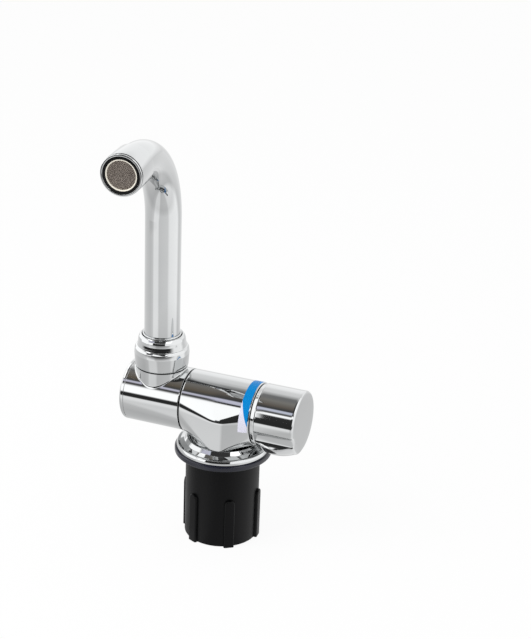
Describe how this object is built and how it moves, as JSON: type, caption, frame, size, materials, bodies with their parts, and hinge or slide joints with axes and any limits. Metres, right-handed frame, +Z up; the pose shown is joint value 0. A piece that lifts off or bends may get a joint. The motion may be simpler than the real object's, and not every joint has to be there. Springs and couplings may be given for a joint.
{
  "type": "kitchen tap",
  "caption": "Folding deck-mounted kitchen tap with a swivel swan-neck spout, a turning side knob, a rubber deck gasket and a ribbed lock nut.",
  "frame": {"origin": "on the axis of the threaded shank, at the worktop surface under the gasket", "axes": "+Z up, +X along the barrel towards the knob, -Y to the front, where the spout points"},
  "size_m": [0.0992, 0.0894, 0.2271],
  "materials": {
    "chrome": "mirror polish",
    "brass": "machined",
    "rubber": "matt",
    "black_plastic": "moulded satin",
    "dark_plastic": "matt",
    "white_plastic": "matt",
    "insert_plastic": "satin",
    "blue_paint": "gloss",
    "white_paint": "gloss",
    "mesh_steel": "woven wire",
    "steel": "machined"
  },
  "bodies": {
    "body": {"body_casting": "chrome", "deck_flange": "chrome", "deck_gasket": "rubber", "threaded_shank": "brass", "lock_nut": "black_plastic", "flow_mark_blue": "blue_paint", "flow_mark_white": "white_paint", "pivot_tube": "brass", "pivot_seals": "rubber", "seam_washer": "dark_plastic", "pivot_washer": "white_plastic", "pivot_nut": "brass", "valve_bonnet": "brass", "bonnet_seal": "rubber"},
    "carrier": {"carrier_housing": "chrome", "end_cap": "chrome", "collar_nut": "chrome", "slide_washer": "white_plastic"},
    "spout": {"spout_foot": "chrome", "spout_seals": "rubber", "spout_tube": "chrome", "mouth_sleeve": "chrome", "aerator_shell": "chrome", "aerator_gasket": "rubber", "aerator_insert": "insert_plastic", "aerator_mesh": "mesh_steel"},
    "knob": {"knob_shell": "chrome", "knob_grub_screw": "steel", "valve_spindle": "brass", "spindle_seals": "rubber", "spindle_clip": "steel"},
    "plunger": {"valve_plunger": "brass", "valve_washer": "rubber", "washer_screw": "brass"}
  },
  "joints": [
    {"name": "carrier_fold", "type": "hinge", "parent": "body", "child": "carrier", "pos_m": [-0.0369, 0, 0.0258], "axis": [1, 0, 0], "range_deg": [-90, 90]},
    {"name": "spout_swivel", "type": "hinge", "parent": "carrier", "child": "spout", "pos_m": [-0.0369, 0, 0.05], "axis": [0, 0, 1], "continuous": true},
    {"name": "knob_turn", "type": "hinge", "parent": "body", "child": "knob", "pos_m": [0.033, 0, 0.0258], "axis": [-1, 0, 0], "range_deg": [0, 300]},
    {"name": "valve_lift", "type": "slide", "parent": "body", "child": "plunger", "axis": [1, 0, 0], "range_m": [0, 0.0026]}
  ],
  "couplings": [
    {"joint": "valve_lift", "follows": "knob_turn", "m_per_rad": 0.00047746}
  ]
}
